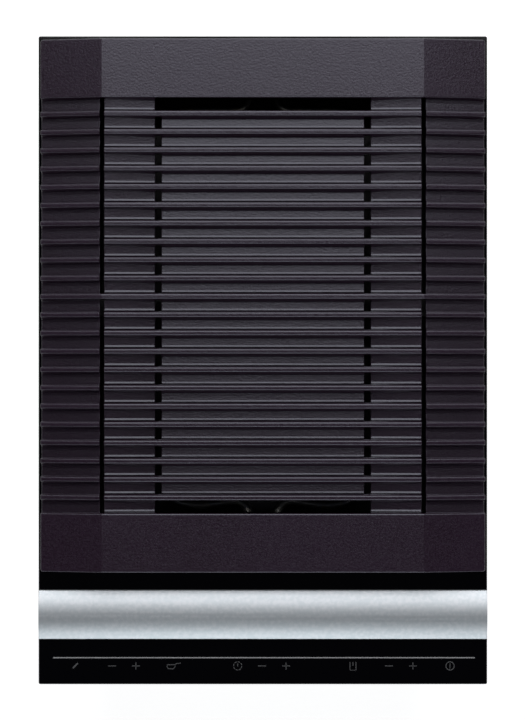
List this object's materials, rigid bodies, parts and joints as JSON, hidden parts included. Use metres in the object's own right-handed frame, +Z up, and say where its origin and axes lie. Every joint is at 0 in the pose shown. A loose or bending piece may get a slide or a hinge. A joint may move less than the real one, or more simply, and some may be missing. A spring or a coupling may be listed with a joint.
{
  "type": "built-in domino grill",
  "caption": "Flush electric grill for a worktop: glass panel, ribbed cast-iron grate over a well with swing-up heaters, touch strip, trim bar and drain tap.",
  "frame": {"origin": "middle of the panel on the worktop's surface, where the seal rests", "axes": "+Z up out of the worktop, +Y from the user's side to the back, +X to the right"},
  "size_m": [0.3618, 0.52, 0.1855],
  "materials": {
    "rubber_seal": "matt",
    "panel_glass": "polished black",
    "casting": "enamelled, fine cast texture",
    "stainless": "satin",
    "heater_steel": "heat darkened",
    "galvanised": "spangled zinc",
    "bar_aluminium": "brushed",
    "brass": "turned",
    "nickel": "nickel plated",
    "seat_plastic": "white",
    "black_plastic": "fine grain",
    "board": "solder resist",
    "relay_plastic": "moulded",
    "terminal_plastic": "moulded",
    "foam": "foam",
    "zinc_screw": "zinc plated",
    "lever_paint": "dipped red"
  },
  "bodies": {
    "appliance": {"worktop_seal": "rubber_seal", "glass_panel": "panel_glass", "well": "stainless", "well_gasket": "rubber_seal", "front_heater_bracket": "stainless", "front_heater_pin": "stainless", "rear_heater_bracket": "stainless", "rear_heater_pin": "stainless", "heater_support": "stainless", "casing": "galvanised", "heat_shield": "galvanised", "base_cover": "galvanised", "cover_screws": "zinc_screw", "cable_gland": "black_plastic", "gland_nut": "black_plastic", "drain_spigot": "stainless", "drain_washer_ring": "rubber_seal", "drain_nut": "brass", "valve_body": "nickel", "plug_nut": "brass", "drain_outlet": "nickel", "trim_bar": "bar_aluminium", "front_adhesive": "foam", "back_adhesive": "foam", "touch_board": "board", "touch_carrier": "black_plastic", "ribbon_cable": "terminal_plastic", "touch_pads": "foam", "displays": "black_plastic", "power_board": "board", "board_spacers": "seat_plastic", "relays": "relay_plastic", "terminal_block": "terminal_plastic", "well_thermostat": "nickel", "clamp_brackets": "galvanised", "clamp_screws": "zinc_screw"},
    "grate": {"grill_grate": "casting"},
    "front_heating": {"front_heater": "heater_steel", "front_heater_head": "stainless"},
    "rear_heating": {"rear_heater": "heater_steel", "rear_heater_head": "stainless"},
    "strainer": {"drain_strainer": "stainless"},
    "tap": {"valve_plug": "brass", "drain_lever": "zinc_screw", "lever_grip": "lever_paint"},
    "front_left_clamp": {"front_left_claw": "zinc_screw"},
    "back_left_clamp": {"back_left_claw": "zinc_screw"},
    "front_right_clamp": {"front_right_claw": "zinc_screw"},
    "back_right_clamp": {"back_right_claw": "zinc_screw"}
  },
  "joints": [
    {"name": "grate_lift", "type": "slide", "parent": "appliance", "child": "grate", "axis": [0, 0, 1], "range_m": [0, 0.3]},
    {"name": "front_heater_swing", "type": "hinge", "parent": "appliance", "child": "front_heating", "pos_m": [0, -0.1315, -0.004], "axis": [1, 0, 0], "range_deg": [0, 80]},
    {"name": "rear_heater_swing", "type": "hinge", "parent": "appliance", "child": "rear_heating", "pos_m": [0, 0.2185, -0.004], "axis": [-1, 0, 0], "range_deg": [0, 80]},
    {"name": "strainer_lift", "type": "slide", "parent": "appliance", "child": "strainer", "axis": [0, 0, 1], "range_m": [0, 0.04]},
    {"name": "drain_lever_turn", "type": "hinge", "parent": "appliance", "child": "tap", "pos_m": [0, -0.105, -0.1175], "axis": [0, 1, 0], "range_deg": [0, 90]},
    {"name": "front_left_claw_swing", "type": "hinge", "parent": "appliance", "child": "front_left_clamp", "pos_m": [-0.165, -0.15, -0.043], "axis": [0, 0, 1], "range_deg": [0, 90]},
    {"name": "back_left_claw_swing", "type": "hinge", "parent": "appliance", "child": "back_left_clamp", "pos_m": [-0.165, 0.15, -0.043], "axis": [0, 0, 1], "range_deg": [0, 90]},
    {"name": "front_right_claw_swing", "type": "hinge", "parent": "appliance", "child": "front_right_clamp", "pos_m": [0.165, -0.15, -0.043], "axis": [0, 0, -1], "range_deg": [0, 90]},
    {"name": "back_right_claw_swing", "type": "hinge", "parent": "appliance", "child": "back_right_clamp", "pos_m": [0.165, 0.15, -0.043], "axis": [0, 0, -1], "range_deg": [0, 90]}
  ],
  "couplings": [
    {"joint": "front_heater_swing", "follows": "grate_lift", "rad_per_m": 4.65},
    {"joint": "rear_heater_swing", "follows": "grate_lift", "rad_per_m": 4.65}
  ]
}
